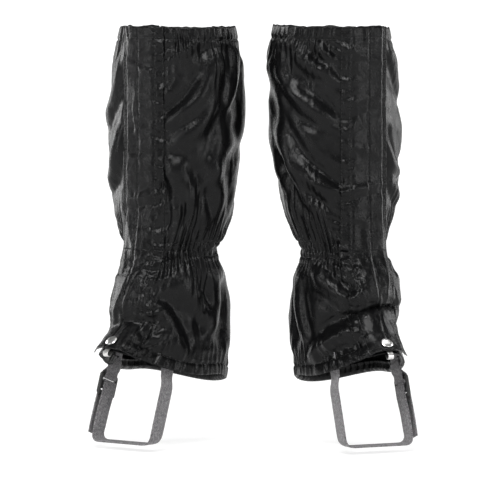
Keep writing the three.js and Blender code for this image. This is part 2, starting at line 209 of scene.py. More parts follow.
# ---- folds ----
# Long tension folds: start angle and height, end angle and height, half width, rise. Angles are
# degrees from the toe, negative towards the other leg. The first set is the left gaiter's.
FOLDS = {
    1: [
        (-84, 430, -27, 378, 6, 3.2), (-62, 428, -30, 398, 4.5, 2.0), (-80, 377, -27, 336, 7, 3.4),
        (-97, 395, -55, 352, 5, 1.8), (-108, 334, -26, 258, 8, 4.2), (-86, 300, -40, 238, 6, 2.4),
        (-125, 372, -95, 262, 8, 2.8), (17, 324, 60, 276, 6, 4.4), (24, 300, 66, 250, 6, 2.4),
        (35, 420, 80, 360, 7, 3.0), (60, 345, 110, 290, 8, 3.0), (150, 400, 105, 330, 9, 3.2),
        (178, 350, 130, 262, 9, 3.2), (-150, 390, -120, 300, 9, 3.0), (-172, 330, -138, 240, 8, 2.6),
        (-66, 190, -22, 150, 6, 3.6), (-18, 128, -62, 104, 6, 3.2), (-30, 122, -84, 84, 5, 2.0),
        (-95, 180, -80, 110, 7, 2.6), (-130, 176, -104, 92, 8, 2.6), (70, 180, 40, 128, 7, 3.0),
        (110, 176, 72, 104, 8, 3.0), (150, 170, 120, 84, 8, 2.6), (178, 172, 165, 92, 7, 2.0),
    ],
    -1: [
        (-90, 416, -24, 328, 7, 4.2), (-100, 400, -28, 306, 8, 2.6), (-60, 426, -36, 402, 5, 2.6),
        (-112, 415, -96, 345, 6, 3.0), (-23, 300, -58, 232, 6, 3.0), (-24, 288, -42, 225, 5, 2.6),
        (-70, 300, -98, 236, 8, 3.0), (-104, 330, -60, 262, 8, 2.2), (30, 400, 62, 330, 7, 3.2),
        (26, 330, 58, 262, 7, 3.4), (75, 400, 110, 320, 9, 3.2), (100, 300, 70, 240, 8, 2.6),
        (150, 405, 112, 330, 9, 3.0), (178, 345, 140, 255, 9, 3.2), (-150, 400, -118, 310, 9, 3.0),
        (-170, 300, -140, 236, 8, 2.4), (-12, 155, -66, 92, 5.5, 3.6), (-10, 142, -52, 92, 5, 3.0),
        (-50, 172, -90, 120, 7, 2.6), (-100, 176, -84, 108, 7, 2.8), (-140, 176, -112, 90, 8, 2.6),
        (64, 180, 36, 126, 7, 3.0), (104, 178, 70, 100, 8, 3.0), (150, 172, 118, 84, 8, 2.6),
    ],
}


def long_folds(side, arc, z):
    """Ridges along FOLDS, each with a hollow on both sides."""
    total = np.zeros_like(arc)
    for a0, z0, a1, z1, width, rise in FOLDS[side]:
        x0, x1 = math.radians(a0) * MEAN_RADIUS, math.radians(a1) * MEAN_RADIUS
        length = math.hypot(x1 - x0, z1 - z0)
        ux, uz = (x1 - x0) / length, (z1 - z0) / length
        along = ((arc - x0) * ux + (z - z0) * uz) / length
        across = -(arc - x0) * uz + (z - z0) * ux
        across = across + 0.07 * length * (1 - (2 * along - 1) ** 2)
        across = across + 1.5 * wander(along, 0.3, abs(int(a0 * 7 + z0)))
        spread = 1.2 * width * (1.3 - 0.5 * np.clip(along, 0, 1))
        t = across / spread
        ridge = np.exp(-t * t) - 0.55 * bell(t, 1.7, 0.9) - 0.35 * bell(t, -1.8, 1.0)
        ends = smooth(-0.05, 0.25, along) * (1 - smooth(0.75, 1.08, along))
        total += rise * ridge * ends
    return total


def gathers(arc, z, line, up, down, period, rise, seed):
    """Pinch folds that stand on an elastic's edge and fade within up and down of the line."""
    phase = 2 * np.pi * (arc / period + 0.55 * wander(arc, 2.3 * period, seed))
    crest = 0.5 + 0.5 * np.cos(phase)
    size = 0.65 + 0.45 * wander(arc, 1.3 * period, seed + 1)
    reach = 1 + 0.75 * wander(arc, 1.7 * period, seed + 2)
    distance = np.where(z > line, (z - line) / up, (line - z) / down) / reach
    return rise * size * (crest ** 1.4 - 0.45) * np.exp(-distance ** 1.5)


def leg_fill(side, z, angle):
    """How far the leg pushes each side of the cloth out, by height."""
    heights, towards, away = np.array(FILL[side][::-1], float).T
    total = np.zeros_like(z)
    for values, centre in zip((towards, away), FILL_ANGLES[side]):
        distance = np.angle(np.exp(1j * (angle - math.radians(centre))))
        total = total + np.interp(z, heights, values) * np.exp(-(distance / 0.8) ** 2)
    return total


def cloth_offset(side, row, angle):
    """How far the cloth stands off the worn surface, in millimetres."""
    seed = 11 if side > 0 else 47
    point = base_point(row, angle, side)
    z = point[..., 2]
    arc = angle * MEAN_RADIUS
    front = np.cos(angle) > 0
    x = point[..., 0]
    beyond = 1 - smooth(SEAM_X - 1, SEAM_X + 4.5, x) + smooth(FREE_X - 3, FREE_X + 6, x)
    free = np.where(front, beyond, 1)
    to_hem = z - hem_height(angle)
    to_rim = RIM - z
    folds = long_folds(side, arc, z)
    slack = 1.0 * creased(arc, z, 36, -0.9, 2.4, seed) + 0.5 * creased(arc, z, 19, 0.7, 2.2, seed + 5)
    slack += 1.0 * cloudy(arc, z, 38, seed + 9)
    slack += 1.9 * facets(arc, z, 46, 0.75 * side, seed + 16)
    slack += 0.9 * facets(arc, z, 33, -0.5 * side, seed + 22)
    crumple = 0.22 * cloudy(arc, z, 7, seed + 12) + 0.22 * creased(arc, z, 11, 0.2, 1.6, seed + 14)
    crumple += 0.30 * facets(arc, z, 15, 1.2, seed + 28) + 0.22 * facets(arc, z, 11, 0.15, seed + 31)
    calm = smooth(2, 26, to_rim) * smooth(4, 26, np.abs(z - ANKLE)) * smooth(3, 22, to_hem)
    out = 2.3 * folds + 0.8 * slack + 0.7 * crumple - 1.6
    out = np.where(out > 0, 0.5 * out, out) * calm
    out += gathers(arc, z, RIM - RIM_BAND, 13, 24, 8.0, 2.6, seed + 20)
    out += gathers(arc, z, ANKLE + ANKLE_BAND / 2, 28, 7, 7.5, 3.6, seed + 30)
    out += gathers(arc, z, ANKLE - ANKLE_BAND / 2, 7, 24, 8.0, 3.6, seed + 40)
    out += gathers(arc, to_hem, HEM_BAND, 17, 10, 7.5, 2.4, seed + 50)
    for distance, width, rise in (
        (z - RIM + RIM_BAND / 2, RIM_BAND, 0.35), (z - ANKLE, ANKLE_BAND, 0.95),
        (to_hem - HEM_BAND / 2, HEM_BAND, 0.7),
    ):
        out += rise * wander(arc, 2.1, seed + 70) * np.exp(-(distance / (0.62 * width)) ** 4)
    # The elastics draw the cloth in, and their stitch lines pinch it.
    for line in (RIM - RIM_BAND, ANKLE + ANKLE_BAND / 2, ANKLE, ANKLE - ANKLE_BAND / 2):
        out -= 1.2 * bell(z, line, 1.4)
    out -= 1.2 * bell(to_hem, HEM_BAND, 1.4)
    # Beside the flap's sewn edge the seam puckers the cloth.
    beside = np.where(front, bell(x, SEAM_X - 2, 8), 0)
    out += 1.5 * beside * wander(z + 0.5 * x, 3.6, seed + 60) * smooth(2, 16, to_rim)
    blouse = 2.0 * bell(z, RIM - 34, 16) + 3.5 * bell(z, ANKLE - 26, 12) + 1.5 * bell(to_hem, 24, 10)
    # Both halves lie flat and even at the seam down the back.
    seam = smooth(0.02, 0.4, np.pi - np.abs(angle))
    return (out * seam + blouse + leg_fill(side, z, angle)) * free


# ---- meshes ----
def to_world(points, side):
    """From one gaiter's own frame in millimetres to the row frame in metres."""
    c, s = math.cos(TOE_OUT), math.sin(TOE_OUT)
    x = points[..., 0] * c - points[..., 1] * s + ANKLE_SPACING / 2
    y = points[..., 0] * s + points[..., 1] * c
    return np.stack([side * x, y, points[..., 2]], -1) * MM


def lengths_along(points):
    """The distance of each point of a line from its first one."""
    steps = np.linalg.norm(np.diff(points, axis=0), axis=1)
    return np.concatenate([[0], np.cumsum(steps)])


def grid_mesh(name, points, thickness, side):
    """A closed sheet round a grid of points, (down, across, xyz), in one gaiter's frame."""
    rows, columns = points.shape[:2]
    across = np.gradient(points, axis=1)
    down = np.gradient(points, axis=0)
    normal = np.cross(down, across)
    normal /= np.maximum(np.linalg.norm(normal, axis=-1, keepdims=True), 1e-9)
    outer, inner = points + normal * thickness / 2, points - normal * thickness / 2
    vertices = to_world(np.concatenate([outer.reshape(-1, 3), inner.reshape(-1, 3)]), side)
    index = np.arange(rows * columns).reshape(rows, columns)
    a, b, c, d = index[:-1, :-1], index[1:, :-1], index[1:, 1:], index[:-1, 1:]
    front = np.stack([a, b, c, d], -1).reshape(-1, 4)
    back = front[:, ::-1] + rows * columns
    ring = np.concatenate([index[0, :-1], index[:-1, -1], index[-1, :0:-1], index[:0:-1, 0]])
    following = np.roll(ring, -1)
    edge = np.stack([ring, following, following + rows * columns, ring + rows * columns], -1)
    faces = np.concatenate([front, back, edge])
    if side < 0:
        faces = faces[:, ::-1]
    smooth_faces = np.concatenate([np.ones(len(front) + len(back), bool), np.zeros(len(edge), bool)])
    u, v = (lengths_along(line) * MM for line in (points[rows // 2], points[:, columns // 2]))
    flat = np.stack(np.broadcast_arrays(u[None, :], v[:, None]), -1).reshape(-1, 2)
    return new_piece(name, vertices, faces, np.concatenate([flat, flat]), smooth_faces)


def new_piece(name, vertices, faces, flat=None, smooth_faces=None):
    mesh = bpy.data.meshes.new(name)
    mesh.from_pydata(vertices.tolist(), [], faces.tolist())
    if flat is not None:
        layer = mesh.uv_layers.new(name="Flat")
        corners = np.zeros(len(mesh.loops), int)
        mesh.loops.foreach_get("vertex_index", corners)
        layer.data.foreach_set("uv", flat[corners].astype(np.float32).ravel())
    if smooth_faces is None:
        smooth_faces = np.ones(len(mesh.polygons), bool)
    mesh.polygons.foreach_set("use_smooth", smooth_faces)
    piece = bpy.data.objects.new(name, mesh)
    bpy.context.scene.collection.objects.link(piece)
    return piece


# ---- the cloth ----
TURNING_ROWS, TURNING_DEPTH = 9, 2.6
BACK_LAP, BACK_LAP_DROP = 0.07, 0.8


def heights_down(count_above, count_below):
    """Rows from rim to hem, closer together at the elastics."""
    def spaced(low, high, count):
        t = np.linspace(0, 1, count)
        return low + (high - low) * (t - 0.35 * np.sin(2 * np.pi * t) / (2 * np.pi))
    above = row_at(spaced(RIM, ANKLE, count_above))
    below = row_at(spaced(ANKLE, ARCH, count_below))
    return np.concatenate([above, below[1:]])


def cloth_half(side, name, start, end, columns):
    """One cloth half from angle start(row) to end(row), its rim and hem turned inside."""
    rows = heights_down(106, 76)
    fold_down = np.linspace(1, 0, TURNING_ROWS + 1)[:-1]
    top = row_at(RIM - fold_down * RIM_BAND)
    low = row_at(ARCH + fold_down[::-1] * HEM_BAND)
    rows_all = np.concatenate([top, rows, low])
    tuck = np.concatenate([smooth(0, 0.22, fold_down), np.zeros(len(rows)), smooth(0, 0.22, fold_down[::-1])])
    u = np.linspace(0, 1, columns)
    grid_row = np.repeat(rows_all[:, None], columns, 1)
    first, last = start(rows_all)[:, None], end(rows_all)[:, None]
    angle = first + (last - first) * u
    offset = cloth_offset(side, grid_row, angle) - CLOTH / 2
    offset = offset - BACK_LAP_DROP * smooth(-0.04, 0.0, -np.pi - angle)
    offset = offset - tuck[:, None] * TURNING_DEPTH
    points = worn(side, grid_row, angle, offset)
    arc = angle * MEAN_RADIUS
    rim_wave = 1.4 * wander(arc, 17, 5 * side + 90) + 0.8 * wander(arc, 6, 5 * side + 91)
    points[..., 2] += rim_wave * smooth(RIM - 26, RIM, points[..., 2])
    return grid_mesh(name, points, CLOTH, side)


def gaiter_cloth(side, name):
    """Both halves of one gaiter. The inner one laps under the outer one down the back."""
    inner = cloth_half(
        side, f"{name}_inner_cloth",
        lambda row: np.full_like(row, -np.pi - BACK_LAP), lambda row: angle_at_x(row, SEAM_X + 3), 226,
    )
    outer = cloth_half(
        side, f"{name}_outer_cloth",
        lambda row: angle_at_x(row, UNDERLAP_X), lambda row: np.full_like(row, np.pi), 234,
    )
    return inner, outer


# ---- the storm flap, its tapes and elastics ----
def front_strip(side, name, rows, from_x, to_x, columns, offset, thickness):
    """A strip down the front between two distances from the middle, standing off by offset(side, x, z)."""
    grid_row = np.repeat(np.asarray(rows)[:, None], columns, 1)
    x = np.repeat(np.linspace(from_x, to_x, columns)[None, :], len(rows), 0)
    angle = angle_at_x(grid_row, x)
    z = base_point(grid_row, angle, side)[..., 2]
    points = worn(side, grid_row, angle, offset(side, x, z) + seam_lift(side, rows, x))
    return grid_mesh(name, points, thickness, side)


def seam_lift(side, rows, x):
    """The flap's sewn edge rises and falls with the cloth that it is sewn to."""
    rows = np.asarray(rows, float)
    lift = cloth_offset(side, rows, angle_at_x(rows, np.full_like(rows, SEAM_X)))
    lift = lift[:, None] if np.ndim(x) == 2 else lift
    return lift * (1 - smooth(SEAM_X + 2, SEAM_X + 11, x))


FLAP_LINES = (SEAM_X + 1.2, SEAM_X + 8.8, SEAM_X + 28, FREE_X - 4.2, FREE_X - 1.8)


def flap_offset(side, x, z):
    """How far the flap's cloth stands off the worn surface, in millimetres."""
    seed = 71 if side > 0 else 83
    lift = 0.45 + 3.4 * smooth(SEAM_X + 1, SEAM_X + 13, x) - 0.5 * smooth(FREE_X - 8, FREE_X, x)
    # A doubled hem along both edges, drawn down and puckered beside every line of stitches.
    out = lift + 0.5 * smooth(FREE_X - 6.5, FREE_X - 5.5, x) + 0.4 * (1 - smooth(SEAM_X + 9, SEAM_X + 10, x))
    for number, line in enumerate(FLAP_LINES):
        near = np.abs(x - line)
        out -= (0.7, 1.3, 0.9, 1.1, 0.8)[number] * np.exp(-(near / 1.1) ** 2)
        pucker = wander(z + 0.35 * (x - line) * (-1) ** number, 2.7, seed + number)
        out += (1.1, 1.25, 0.45, 0.22, 0.2)[number] * pucker * np.exp(-(near / 3.4) ** 2)
    fine = 1 - 0.75 * smooth(-14, 4, x)
    out += 0.8 * cloudy(x, z, 26, seed + 20) + 0.7 * creased(x, z, 14, 1.45, 4.0, seed + 22)
    out += fine * (0.5 * creased(x, z, 10, 0.12, 2.2, seed + 24) + 0.35 * facets(x, z, 9, 0.35, seed + 26))
    out += 0.30 * facets(x, z, 13, 1.5, seed + 28)
    # Crosswise tension creases from the sewn edge, and the creases over the slack instep.
    for centre, rise, lean in ((410, 0.9, -0.3), (395, 1.3, 0.35), (352, 1.1, -0.3), (338, -0.9, -0.25),
                               (300, 0.9, 0.3), (262, 2.2, -0.22), (253, -1.6, -0.2), (228, 1.0, 0.2)):
        out += rise * bell(z + lean * side * x, centre + 6 * side, 3.6) * (1 - 0.6 * smooth(-10, 20, x))
    slouch = bell(z, ANKLE - 48, 34)
    out += 0.8 * slouch * wander(z + 2 * np.sin(x / 9), 7.5, seed + 30)
    out += 0.8 * slouch * wander(x + 0.3 * z, 5, seed + 31)
    out -= 0.55 * bell(z, RIM - FLAP_TURNING, 1.1)
    out += 0.9 * wander(x, 6, seed + 33) * bell(z, ANKLE, 18)
    out += 0.8 * wander(x, 4.5, seed + 35) * np.exp(-((RIM - z) / 22) ** 2)
    return np.maximum(out, lift - (0.7 + 0.6 * smooth(SEAM_X + 2, SEAM_X + 12, x)))


def loop_offset(side, x, z):
    return 1.0 + 0.08 * cloudy(x, z, 1.3, 5)


def hook_offset(side, x, z):
    return np.minimum(2.5, flap_offset(side, x, z) - 0.95) + 0.06 * cloudy(x, z, 1.1, 6)


def elastic_band(side, name, rows, from_angle, to_angle, gap, columns=150):
    grid_row = np.repeat(np.asarray(rows)[:, None], columns, 1)
    first, last = from_angle(np.asarray(rows))[:, None], to_angle(np.asarray(rows))[:, None]
    angle = first + (last - first) * np.linspace(0, 1, columns)
    ribs = 0.25 * np.sin(2 * np.pi * grid_row / (rows[-1] - rows[0]) * 4)
    offset = cloth_offset(side, grid_row, np.where(angle > np.pi, angle - 2 * np.pi, angle)) - gap + ribs
    return grid_mesh(name, worn(side, grid_row, angle, offset), ELASTIC_THICK, side)


# ---- stitches ----
def bead_template(sides=6):
    turns = np.arange(sides) * 2 * np.pi / sides
    ring = np.stack([np.zeros(sides), np.cos(turns), np.sin(turns)], -1)
    points = np.concatenate([[[-1, 0, 0]], ring + [-0.6, 0, 0], ring + [0.6, 0, 0], [[1, 0, 0]]])
    faces = []
    for i in range(sides):
        j = (i + 1) % sides
        faces += [(0, 1 + j, 1 + i), (1 + i, 1 + j, 1 + sides + j), (1 + i, 1 + sides + j, 1 + sides + i),
                  (1 + sides + i, 1 + sides + j, 1 + 2 * sides)]
    return points, np.array(faces)


def stitch_piece(name, lines, side, length=2.7, gap=0.9, thick=0.30):
    """Rows of thread stitches. Each line is (points, normals) in millimetres."""
    template, faces = bead_template()
    vertices, all_faces, count = [], [], 0
    for points, normals in lines:
        along = lengths_along(points)
        centres = np.arange(length, along[-1] - length / 2, length + gap)
        if len(centres) == 0:
            continue

        def sample(array, at):
            return np.stack([np.interp(at, along, array[:, k]) for k in range(3)], -1)

        middle, normal = sample(points, centres), sample(normals, centres)
        direction = sample(points, centres + 0.5) - sample(points, centres - 0.5)
        direction /= np.linalg.norm(direction, axis=1, keepdims=True)
        normal -= direction * np.sum(normal * direction, axis=1, keepdims=True)
        normal /= np.linalg.norm(normal, axis=1, keepdims=True)
        across = np.cross(normal, direction)
        shape = (
            middle[:, None] + direction[:, None] * template[None, :, :1] * length / 2
            + across[:, None] * template[None, :, 1:2] * thick
            + normal[:, None] * (template[None, :, 2:] * thick * 0.8 + 0.1)
        )
        vertices.append(shape.reshape(-1, 3))
        all_faces.append((faces[None] + np.arange(len(centres))[:, None, None] * len(template)
                          + count).reshape(-1, 3))
        count += len(centres) * len(template)
    points = np.concatenate(vertices)
    faces = np.concatenate(all_faces)
    return new_piece(name, to_world(points, side), faces[:, ::-1] if side < 0 else faces)


def flap_line(side, xs, rows, lift):
    """A line on the flap's outside, with the lift of its sewn edge where it has one."""
    angle = angle_at_x(rows, xs)
    z = base_point(rows, angle, side)[..., 2]
    out = flap_offset(side, xs, z) + lift + CLOTH / 2
    return worn(side, rows, angle, out), worn_normal(rows, angle, side)


def flap_lines(side, rows, hem_row):
    """The stitch lines down one stretch of the flap, and the one across its hem."""
    fine = np.interp(np.linspace(0, 1, 600), np.linspace(0, 1, len(rows)), rows)
    lines = []
    for x in FLAP_LINES:
        xs = np.full(len(fine), float(x))
        lines.append(flap_line(side, xs, fine, seam_lift(side, fine, xs)))
    lines.append(flap_line(side, np.linspace(SEAM_X + 2, FREE_X - 1, 160), np.full(160, float(hem_row)), 0))
    return lines


def line_round(side, rows, angle):
    offset = cloth_offset(side, rows, angle)
    return worn(side, rows, angle, offset), worn_normal(rows, angle, side)


def band_lines(side):
    """Stitch lines round the rim, the ankle and the hem, on each cloth half."""
    lines, round_count, down_count = [], 420, 500
    for height in (RIM - RIM_BAND, ANKLE + ANKLE_BAND / 2, ANKLE - ANKLE_BAND / 2, ARCH + HEM_BAND):
        row = float(row_at(height))
        rows = np.full(round_count, row)
        first = float(angle_at_x(np.array(row), SEAM_X - 1))
        last = float(angle_at_x(np.array(row), FREE_X - 6))
        for start, end in ((-np.pi + 0.01, first), (last, np.pi - 0.01)):
            lines.append(line_round(side, rows, np.linspace(start, end, round_count)))
    rows = row_at(np.linspace(RIM - 3, ARCH + 4, down_count))
    for turn in (-np.pi + BACK_LAP, np.pi - BACK_LAP):
        lines.append(line_round(side, rows, np.full(down_count, turn)))
    return lines


# ---- the instep strap, in its own frame: X outwards, Y across the webbing, Z up the strap ----
STRAP_SLANT = math.radians(19.6)
STRAP_FORWARD, STRAP_ANCHOR = 51, 80
STRAP_DROP, STRAP_CORNER, ANCHOR_SPAN, ARCH_SPAN = 77.5, 10, 34.2, 38
STRAP_LAP, WEBBING_WIDTH, WEBBING = 8, 19, 1.5
BUCKLE_WIDTH, BUCKLE_THICK, BUCKLE_BAR, BUCKLE_SLOT = 27, 3.5, 4, 5.5
BUCKLE_TOP, BUCKLE_GAP = -7.5, 0.5
TAIL_LENGTH, TAIL_GAP = 46, 1.6
LAYER_GAP = 0.5
BUCKLE_IN = ARCH_SPAN - 1.5 + WEBBING / 2 + BUCKLE_GAP
BUCKLE_OUT = BUCKLE_IN + BUCKLE_THICK
TAIL_PLANE = BUCKLE_OUT + BUCKLE_GAP + WEBBING / 2
UPPER_SLOT_TOP = BUCKLE_TOP - BUCKLE_BAR
UPPER_SLOT_LOW = UPPER_SLOT_TOP - BUCKLE_SLOT
THREAD_HEIGHT = UPPER_SLOT_LOW + BUCKLE_SLOT * 0.38
STRAP_END = UPPER_SLOT_LOW - BUCKLE_BAR - BUCKLE_SLOT / 2


def from_strap(points):
    c, s = math.cos(-STRAP_SLANT), math.sin(-STRAP_SLANT)
    y, z = points[..., 1], points[..., 2]
    return np.stack([points[..., 0], y * c - z * s - STRAP_FORWARD, y * s + z * c + STRAP_ANCHOR], -1)


def rounded_path(corners, radii, steps=9):
    """A line through corners in the XZ plane, each corner rounded by its own radius."""
    path = [np.array(corners[0], float)]
    for before, corner, after, radius in zip(corners, corners[1:], corners[2:], radii):
        before, corner, after = (np.array(p, float) for p in (before, corner, after))
        a, b = before - corner, after - corner
        reach_a, reach_b = np.linalg.norm(a), np.linalg.norm(b)
        reach = min(radius, 0.48 * reach_a, 0.48 * reach_b)
        start, end = corner + a / reach_a * reach, corner + b / reach_b * reach
        for t in np.linspace(0, 1, steps):
            path.append(start * (1 - t) ** 2 + corner * 2 * t * (1 - t) + end * t * t)
    path.append(np.array(corners[-1], float))
    path = np.array(path)
    along = lengths_along(path)
    count = max(int(along[-1] / 1.1), 12)
    at = np.linspace(0, along[-1], count)
    return np.stack([np.interp(at, along, path[:, 0]), np.interp(at, along, path[:, 1])], -1)


def webbing(side, name, path, thickness=WEBBING, level=False, columns=15):
    """Woven webbing along a path in the XZ plane of the strap's frame."""
    tangent = np.gradient(path, axis=0)
    tangent /= np.linalg.norm(tangent, axis=1, keepdims=True)
    lean = np.zeros(len(path))
    if level:
        lean = STRAP_SLANT * (1 - smooth(-STRAP_DROP + 1, -STRAP_DROP + 3 * STRAP_CORNER, path[:, 1]))
    width = np.stack([np.zeros(len(path)), np.cos(lean), np.sin(lean)], -1)
    along = np.stack([tangent[:, 0], np.zeros(len(path)), tangent[:, 1]], -1)
    out = np.cross(along, width)
    out /= np.linalg.norm(out, axis=1, keepdims=True)
    u = np.linspace(-0.5, 0.5, columns)
    rib = 0.06 * np.cos(u * 2 * np.pi * 7)
    edge = 0.18 * wander(lengths_along(path), 3.0, 200)
    across = u[None, :] * (WEBBING_WIDTH - 0.3 + edge[:, None])
    centre = np.stack([path[:, 0], np.zeros(len(path)), path[:, 1]], -1)
    points = centre[:, None] + width[:, None] * across[..., None] + out[:, None] * rib[None, :, None]
    thin = thickness * (1 - 0.35 * smooth(0.42, 0.5, np.abs(u)))
    return grid_mesh(name, from_strap(points), thin[None, :, None], side)


def strap_pieces(side, name):
    low, r, rise = -STRAP_DROP, STRAP_CORNER, ARCH_SPAN - 1.5
    corners = [
        (-ANCHOR_SPAN, STRAP_LAP), (-ANCHOR_SPAN, -5), (-ARCH_SPAN, -15), (-ARCH_SPAN, low), (ARCH_SPAN, low),
        (ARCH_SPAN - 0.3, STRAP_END - 20), (rise, STRAP_END - 8), (rise, THREAD_HEIGHT),
        (TAIL_PLANE, THREAD_HEIGHT), (TAIL_PLANE, STRAP_END),
    ]
    strap_path = rounded_path(corners, [6, 6, r, r, 6, 6, 1.6, 1.6])
    strap = webbing(side, f"{name}_strap_webbing", strap_path, level=True)
    skin = WEBBING * 0.8
    lap, half, room = ANCHOR_SPAN + WEBBING / 2, skin / 2, 0.4 + skin / 2
    loop_path = rounded_path([
        (lap - half + 0.45, STRAP_LAP), (lap - half + 0.45, -1.2), (BUCKLE_IN - room, -4.6),
        (BUCKLE_IN - room, UPPER_SLOT_TOP - room), (BUCKLE_OUT + room, UPPER_SLOT_TOP - room),
        (BUCKLE_OUT + room, BUCKLE_TOP + 1), (lap + half + 0.7, -1.6), (lap + half + 0.6, 1.0),
    ], [2, 2, 1.5, 1.5, 2, 2])
    loop = webbing(side, f"{name}_buckle_webbing", loop_path, thickness=skin * 0.8)
    top = STRAP_END - TAIL_GAP
    sway = np.linspace(top, top - TAIL_LENGTH, 60)
    tail_path = np.stack([TAIL_PLANE + 0.9 * np.sin((top - sway) / TAIL_LENGTH * 2.4), sway], -1)
    tail = webbing(side, f"{name}_strap_end", tail_path)
    anchors = []
    for hand, label in ((-1, "inner"), (1, "outer")):
        plane = hand * (ANCHOR_SPAN + WEBBING / 2 + LAYER_GAP + skin / 2)
        path = rounded_path([(plane, 19.5), (plane, 5.5)], [])
        anchors.append(webbing(side, f"{name}_{label}_anchor_patch", path, thickness=skin))
    return strap, loop, tail, anchors


def box_stitch(plane, low, high, half_width, toward):
    """A sewn box with its two diagonals, on a plane of constant X in the strap's frame."""
    corners = [(-half_width, low), (half_width, low), (half_width, high), (-half_width, high)]
    corners += [corners[0], corners[2], corners[3], corners[1]]
    lines = []
    for start, end in zip(corners, corners[1:]):
        t = np.linspace(0, 1, 30)[:, None]
        yz = np.array(start) * (1 - t) + np.array(end) * t
        points = np.stack([np.full(30, plane), yz[:, 0], yz[:, 1]], -1)
        normals = np.repeat([[float(toward), 0.0, 0.0]], 30, 0)
        lines.append((from_strap(points), from_strap(normals) - from_strap(np.zeros((30, 3)))))
    return lines


# ---- hardware, modelled flat at the origin and then put in place ----
def edit_mode():
    bpy.ops.object.mode_set(mode="EDIT")


def object_mode():
    bpy.ops.object.mode_set(mode="OBJECT")


def select_where(piece, kind, test):
    """Select the vertices, edges or faces of a piece whose middle passes a test."""
    object_mode()
    mesh = piece.data
    for group in (mesh.vertices, mesh.edges, mesh.polygons):
        group.foreach_set("select", np.zeros(len(group), bool))
    if kind == "FACE":
        for face in mesh.polygons:
            face.select = bool(test(face.center))
    elif kind == "EDGE":
        for edge in mesh.edges:
            a, b = (mesh.vertices[i].co for i in edge.vertices)
            edge.select = bool(test((a + b) / 2))
    else:
        for vertex in mesh.vertices:
            vertex.select = bool(test(vertex.co))
    edit_mode()
    bpy.ops.mesh.select_mode(type=kind)


def started(name, add, **settings):
    if bpy.context.object and bpy.context.object.mode != "OBJECT":
        object_mode()
    bpy.ops.object.select_all(action="DESELECT")
    add(**settings)
    piece = bpy.context.object
    piece.name = name
    piece.data.name = name
    return piece


def finished(piece, matrix, side, bevel=0.0, segments=3, smooth_angle=40):
    """Bevel a piece, and put it at its place in a gaiter, with its place in its mesh."""
    object_mode()
    if bevel:
        edges = piece.modifiers.new("round", "BEVEL")
        edges.width = bevel
        edges.segments = segments
        edges.limit_method = "ANGLE"
        bpy.ops.object.modifier_apply(modifier=edges.name)
    points = np.array([vertex.co for vertex in piece.data.vertices])
    placed = np.array([matrix @ Vector(point) for point in points])
    placed = to_world(placed, side)
    piece.data.vertices.foreach_set("co", placed.astype(np.float32).ravel())
    piece.matrix_world = Matrix.Identity(4)
    edit_mode()
    bpy.ops.mesh.select_all(action="SELECT")
    bpy.ops.mesh.remove_doubles(threshold=1e-7)
    bpy.ops.mesh.normals_make_consistent(inside=False)
    object_mode()
    bpy.ops.object.shade_smooth_by_angle(angle=math.radians(smooth_angle))
    return piece


def turned(name, rings, hole=False, sides=40):
    """A round piece through (radius, height) rings: a solid one, or a ring that closes on itself."""
    piece = started(
        name, bpy.ops.mesh.primitive_circle_add, vertices=sides, radius=rings[0][0],
        fill_type="NOTHING" if hole else "NGON", location=(0, 0, rings[0][1]),
    )
    bpy.ops.object.transform_apply(location=True)
    edit_mode()
    bpy.ops.mesh.select_all(action="SELECT")
    extrude = bpy.ops.mesh.extrude_edges_move if hole else bpy.ops.mesh.extrude_region_move
    for (r0, z0), (r1, z1) in zip(rings, rings[1:] + (rings[:1] if hole else [])):
        extrude(TRANSFORM_OT_translate={"value": (0, 0, z1 - z0)})
        bpy.ops.transform.resize(value=(r1 / r0, r1 / r0, 1), center_override=(0, 0, z1))
    if hole:
        bpy.ops.mesh.select_all(action="SELECT")
        bpy.ops.mesh.remove_doubles(threshold=1e-4)
    return piece


def thickened(piece, thickness):
    """Give a flat piece its thickness, half on each side."""
    object_mode()
    wall = piece.modifiers.new("wall", "SOLIDIFY")
    wall.thickness = thickness
    wall.offset = 0
    bpy.ops.object.modifier_apply(modifier=wall.name)


RIVET_SHARE = 0.94
CAP_RADIUS, CAP_RISE, SHANK_RADIUS, RIVET_CLEAR = 6.3, 1.8, 1.5, 0.3
HOOK_WIDTH, HOOK_THICK, HOOK_PAST, HOOK_BEND, HOOK_RETURN, HOOK_BACK = 6, 0.9, 13, 2.5, 5, 4
HOOK_TOP = -2.0
HOOK_LOW = HOOK_TOP - HOOK_THICK
WASHER_TOP = HOOK_LOW - RIVET_CLEAR
WASHER_LOW = WASHER_TOP - 0.5
WASHER_ROUND = 0.15
DOME_RISE = 0.62
FLAP_STANDS_OFF = 4.5


def hook_frame(side):
    """The rivet's frame: X across, Y up the slope of the tip, Z out of the flap."""
    row = np.array(float(row_at_share(RIVET_SHARE)))
    angle = np.array(0.0)
    out = Vector(worn_normal(row, angle, side))
    up = Vector(base_point(row - 0.1, angle, side) - base_point(row, angle, side)).normalized()
    across = up.cross(out).normalized()
    up = out.cross(across)
    frame_matrix = Matrix((across, up, out)).transposed().to_4x4()
    frame_matrix.translation = Vector(worn(side, row, angle, FLAP_STANDS_OFF))
    return frame_matrix


def rivet(side, name):
    top = RIVET_CLEAR + CAP_RISE
    rings = [(SHANK_RADIUS, WASHER_LOW - RIVET_CLEAR), (SHANK_RADIUS, RIVET_CLEAR)]
    rings += [(CAP_RADIUS - inset, RIVET_CLEAR + up)
              for inset, up in ((0.25, 0), (0, 0.25), (0, 0.6), (0.35, 0.95), (1.1, 1.12))]
    rings += [(CAP_RADIUS * math.cos(t), top - DOME_RISE + DOME_RISE * math.sin(t))
              for t in (0.9, 1.1, 1.3, 1.45, 1.53)]
    return finished(turned(f"{name}_rivet_cap", rings), hook_frame(side), side)


